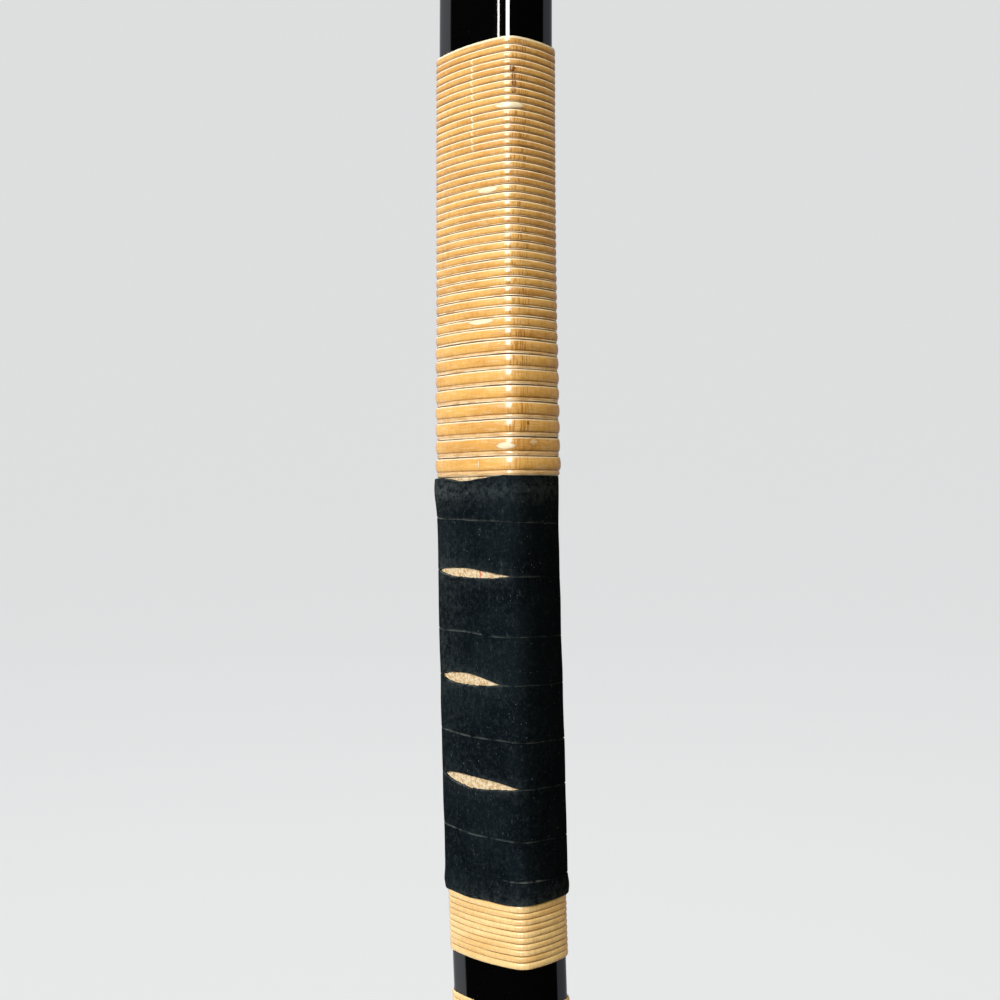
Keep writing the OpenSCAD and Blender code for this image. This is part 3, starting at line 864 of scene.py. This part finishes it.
def leather():
    """One strip wound round the grip, cut level at its two rims."""
    turns = Turns(14, 40, 12, LACQUER + CORK)
    t, step = turns.walk(FIRST_TURN, LAST_TURN)
    u, v = turns.u[step], turns.v[step]
    lower = seam_height(t) + half_gap(t, 1, turns.round)
    upper = seam_height(t + 1) - half_gap(t + 1, -1, turns.round)
    lower = np.maximum(lower, GRIP_LOW + 0.12 * np.sin(u * 0.5))
    upper = np.minimum(upper, upper_rim(u, v, step))
    keep = upper - lower > NARROWEST
    t, step, lower, upper, u, v = (x[keep] for x in (t, step, lower, upper, u, v))
    lower, upper, u, v = (x[:, None] for x in (lower, upper, u, v))

    inset = np.array(EDGE_INSET)
    span = upper - lower
    near = np.minimum(inset, span * 0.45)
    body = lower + inset[-1] + (span - 2 * inset[-1]) * np.linspace(0, 1, BODY_STEPS + 2)[1:-1]
    too_narrow = span < 3 * inset[-1]
    body = np.where(too_narrow, lower + span * np.linspace(0.45, 0.55, BODY_STEPS), body)
    z = np.concatenate([lower + near, body, (upper - near)[:, ::-1]], 1)
    lift = np.concatenate([EDGE_HEIGHT, np.ones(BODY_STEPS), EDGE_HEIGHT[::-1]]) * np.ones_like(z)

    left = np.clip(-u / 14.0, 0, 1) * (v < 0)
    soft = 0.14 * lumps(u, v, z, 0.16, 0.11)
    grow = LACQUER + CORK + (LEATHER + bulge(z, u, left) + soft) * lift
    out_u, out_v = outline(z, turns.arc[step][:, None], turns.share[step][:, None], grow)
    above_edge, below_edge = z - lower, upper - z
    way = (turns.round * (np.ceil(t) - t))[:, None]
    # Painted shade: 1 over the right side and the back, away from the light, 0 over the lit belly and left
    # side
    painted_shade = np.clip((way - 29.0) / 7.0, 0, 1) * np.clip((turns.round - 4 - way) / 8.0, 0, 1)
    facts = {
        "edge": np.minimum(above_edge, below_edge),
        "worn": wear(z, t, left, above_edge, below_edge, turns.round),
        "rubbed": paleness(t, way, above_edge, below_edge),
        "painted_shade": np.broadcast_to(painted_shade, z.shape)
    }
    facts = {key: values[:, ::-1] for key, values in facts.items()}
    return build("leather_wrap", place(z, out_u, out_v)[:, ::-1], facts=facts)


def cork():
    """The sheet between stave and leather, closed on its inner side."""
    arc, share = steps_around(10, 40, 8)
    z = np.linspace(GRIP_LOW + 0.6, GRIP_HIGH - 0.05, 260)[:, None]
    u, v = outline(z, arc, share, LACQUER + CORK)
    outer_u, outer_v = outline(z, arc, share, LACQUER + CORK + 0.06 * lumps(u, v, z, 2.1, 2.1))
    outer = place(np.broadcast_to(z, u.shape), outer_u, outer_v)
    inner_z = z[[-1, 0]]
    inner_u, inner_v = outline(inner_z, arc, share, LACQUER + 0.02)
    inner = place(np.broadcast_to(inner_z, inner_u.shape), inner_u, inner_v)
    rings = np.concatenate([inner[1:], outer, inner[:1], inner[1:]])
    heights = np.concatenate([inner_z[1:], z, inner_z[:1], inner_z[1:]])
    across = np.where(v[:1] < 0, u[:1], 99.0)     # far off on the back, where the red line isn't
    return build("cork_underlay", rings, closed_ends=False, facts={"across": across, "height": heights})


# ---- the pieces ----

LACQUER_BLACK = lacquer_look()
GOLD_RATTAN = rattan_look(
    "golden_rattan", skin=(0.80, 0.44, 0.11), dark=(0.66, 0.325, 0.07), pale=(0.98, 0.87, 0.62),
    groove_shade=(0.13, 0.045, 0.01), lip=LIP + 0.012
)
PALE_RATTAN = rattan_look(
    "pale_rattan", skin=(0.90, 0.635, 0.285), dark=(0.78, 0.48, 0.175), pale=(0.93, 0.76, 0.46),
    groove_shade=(0.34, 0.13, 0.026)
)
LEATHER_BLACK = leather_look()
CORK_TAN = cork_look()
TIP_WOOD = wood_look("blackened_wood", (0.020, 0.013, 0.010), (0.006, 0.005, 0.005), 500, 0.28)
BAMBOO = wood_look("bamboo", (0.72, 0.53, 0.27), (0.55, 0.36, 0.15), 700)
SIDE_WOOD = wood_look("side_wood", (0.44, 0.25, 0.12), (0.30, 0.15, 0.07), 420)
CHARRED = wood_look("charred_bamboo", (0.26, 0.15, 0.08), (0.12, 0.065, 0.035), 700)

fit(stave(), "lacquer", LACQUER_BLACK, "lacquer_coat")
for name, up, shoulder_at, nock, splice in (
    ("upper", 1, UPPER_SHOULDER, UPPER_NOCK, UPPER_SPLICE),
    ("lower", -1, LOWER_SHOULDER, LOWER_NOCK, LOWER_SPLICE)
):
    node = name + "_end_block"
    fit(tip(name + "_tip", up, shoulder_at, nock), "end_block_wood", TIP_WOOD, node)
    fit(end_block(name + "_block_inside", up, splice, shoulder_at), "end_block_wood", TIP_WOOD, node)
fit(arrow_pass(), "pass_rattan", GOLD_RATTAN, "arrow_pass_rattan")
for number, (name, (low, length)) in enumerate(FINE_WINDINGS.items()):
    winding = fine_winding(name + "_winding", low, length, 5.0 + number)
    fit(winding, "fine_rattan", PALE_RATTAN, name + "_rattan")
fit(leather(), "leather", LEATHER_BLACK, "leather_strip")
fit(cork(), "cork", CORK_TAN, "cork_sheet")

# The laminations keep their CAD meshes
for part_name, material in (("bamboo", BAMBOO), ("side_wood", SIDE_WOOD), ("core_strip", CHARRED)):
    for node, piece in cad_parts.items():
        if part_name in node:
            piece.data.materials.clear()
            piece.data.materials.append(material)


# ---- camera, light and floor, in metres ----

AZIMUTH = math.radians(43.0)      # how far the camera is turned from the belly
DISTANCE = 0.350                  # from the grip's middle
EYE_HEIGHT = 0.0503
EYE_ASIDE = 0.00097
TILT = math.radians(-0.23)
ROLL = math.radians(1.19)
LENS = 47.24                      # focal length in millimetres, on a sensor so wide
SENSOR = 36.0

to_camera = Vector((math.sin(AZIMUTH), -math.cos(AZIMUTH), 0.0))
to_right = Vector((math.cos(AZIMUTH), math.sin(AZIMUTH), 0.0))
camera = bpy.data.objects.new("camera", bpy.data.cameras.new("camera"))
bpy.context.scene.collection.objects.link(camera)
camera.data.lens = LENS
camera.data.sensor_width = SENSOR
camera.data.clip_start = 0.02
camera.location = to_camera * DISTANCE + to_right * EYE_ASIDE + Vector((0, 0, EYE_HEIGHT))
look_way = (-to_camera * math.cos(TILT) + Vector((0, 0, math.sin(TILT)))).normalized()
camera.rotation_mode = "QUATERNION"
camera.rotation_quaternion = look_way.to_track_quat("-Z", "Y") @ Quaternion((0, 0, 1), -ROLL)
bpy.context.scene.camera = camera

LIGHT_HEIGHT = 0.05               # of the point that the lights' distances and elevations are measured from
AIM = Vector((0, 0, 0.3))
DAY = (0.98, 0.985, 1.0)
LAMP = (1.0, 0.86, 0.66)
WARM = (1.0, 0.80, 0.25)
WHITE = (1.0, 1.0, 1.0)


def soft_box(name, turn, elevation, distance, width, height, strength, colour):
    """A rectangular light seen from the grip at this turn to the left of the camera, aimed at the stave."""
    angle = AZIMUTH - math.radians(turn)
    rise = math.radians(elevation)
    way = Vector((math.sin(angle) * math.cos(rise), -math.cos(angle) * math.cos(rise), math.sin(rise)))
    light = bpy.data.lights.new(name, "AREA")
    light.shape = "RECTANGLE"
    light.size = width
    light.size_y = height
    light.energy = strength * width * height * math.pi
    light.color = colour
    box = bpy.data.objects.new(name, light)
    bpy.context.scene.collection.objects.link(box)
    box.location = way * distance + Vector((0, 0, LIGHT_HEIGHT))
    box.rotation_mode = "QUATERNION"
    box.rotation_quaternion = (AIM - box.location).to_track_quat("-Z", "Y")
    box.visible_camera = False
    return box


# The window and the slit are seen in the gloss; the daylight and the warm light from the right do the rest
soft_box("window", 21, 24, 2.6, 1.12, 1.35, 22.3, DAY).visible_diffuse = False
soft_box("daylight", 36, 24, 2.6, 1.4, 1.35, 16.7, DAY).visible_glossy = False
soft_box("slit", 62.4, 21.8, 2.6, 0.075, 0.55, 30.0, LAMP)
soft_box("back_fill", 165, 48, 3.4, 2.6, 1.8, 3.0, WHITE)
soft_box("right_fill", -85, 25, 3.4, 1.6, 1.6, 4.0, WARM).visible_glossy = False

# What each kind of ray sees of the surroundings
BACKDROP = (0.66, 0.68, 0.69, 1)
FILL = (0.125, 0.125, 0.122, 1)
DARK_ROOM = (0.010, 0.009, 0.008, 1)
PALE_WALL = (0.62, 0.63, 0.68, 1)
SHADED_WALL = (0.33, 0.34, 0.39, 1)
WALL_TURN = math.radians(175.5)   # from the camera's way round to the wall's middle
WALL_DROP = -0.03


def studio_world():
    """Soft even light for matt surfaces; in gloss, a dark room before the stave and a pale wall behind it."""
    world = bpy.data.worlds.new("studio")
    bpy.context.scene.world = world
    world.use_nodes = True
    tree = world.node_tree
    tree.nodes.clear()

    def node(kind, settings=None, **inputs):
        made = tree.nodes.new("ShaderNode" + kind)
        for key, value in (settings or {}).items():
            setattr(made, key, value)
        for key, value in inputs.items():
            socket = made.inputs[int(key[1:])]
            if isinstance(value, bpy.types.NodeSocket):
                tree.links.new(value, socket)
            else:
                socket.default_value = value
        return made

    def towards(direction):
        """1 for rays straight in this direction, falling to -1 behind."""
        way = node("TexCoord").outputs["Generated"]
        return node("VectorMath", {"operation": "DOT_PRODUCT"}, _0=way, _1=direction).outputs["Value"]

    def ramp(kind, value, low, high):
        """0 below low and 1 above high."""
        made = node("MapRange", {"interpolation_type": kind}, _0=value, _1=low, _2=high, _3=0.0, _4=1.0)
        return made.outputs[0]

    def mix(share, a, b):
        return node("Mix", {"data_type": "RGBA"}, _0=share, _6=a, _7=b).outputs[2]

    ray = node("LightPath").outputs
    wall_turn = AZIMUTH + WALL_TURN
    wall = ramp("SMOOTHSTEP", towards((math.sin(wall_turn), -math.cos(wall_turn), WALL_DROP)), 0.15, 0.18)
    shaded = ramp("LINEAR", towards(to_right), -0.2, 0.5)
    room = mix(wall, DARK_ROOM, mix(shaded, PALE_WALL, SHADED_WALL))
    seen = mix(ray["Is Camera Ray"], room, BACKDROP)
    light = node("Background", _0=mix(ray["Is Diffuse Ray"], seen, FILL), _1=1.0)
    out = node("OutputWorld")
    tree.links.new(light.outputs[0], out.inputs[0])


FLOOR_GAP = 0.0005                # below the lower tip
FLOOR_FLAT, FLOOR_SWEEP, WALL_HEIGHT = 5.5, 3.0, 9.0
FLOOR_SIDES, SWEEP_STEPS = 96, 12
FLOOR_GLOW = (0.985, 0.995, 1.0, 1.0)


def studio_floor():
    """A round pale floor under the lower tip, whose rim sweeps up into a pale wall all round."""
    level = cad_low.z - FLOOR_GAP
    profile = [(r, level) for r in (0.0, 0.4, 1.2, 2.5, 4.0, FLOOR_FLAT)]
    for i in range(1, SWEEP_STEPS + 1):
        a = i / SWEEP_STEPS * math.pi / 2
        profile.append((FLOOR_FLAT + FLOOR_SWEEP * math.sin(a), level + FLOOR_SWEEP * (1 - math.cos(a))))
    profile.append((FLOOR_FLAT + FLOOR_SWEEP, level + WALL_HEIGHT))
    around = [2 * math.pi * i / FLOOR_SIDES for i in range(FLOOR_SIDES)]
    rings = np.array([[(r * math.cos(a), r * math.sin(a), z) for a in around] for r, z in profile])
    floor = build("floor", rings, closed_ends=False)
    look = Look("pale_floor")
    tint = look.mix(look.noise(2.5, 3), (0.098, 0.10, 0.10), (0.108, 0.11, 0.11))
    pale = look.finish(Base_Color=tint, Roughness=0.8, Emission_Color=FLOOR_GLOW, Emission_Strength=0.715)
    floor.data.materials.append(pale)
    floor.visible_diffuse = False
    floor.visible_glossy = False
    floor.visible_transmission = False
    floor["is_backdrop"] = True


studio_world()
studio_floor()
bpy.context.scene.view_settings.view_transform = "Standard"

low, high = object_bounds()
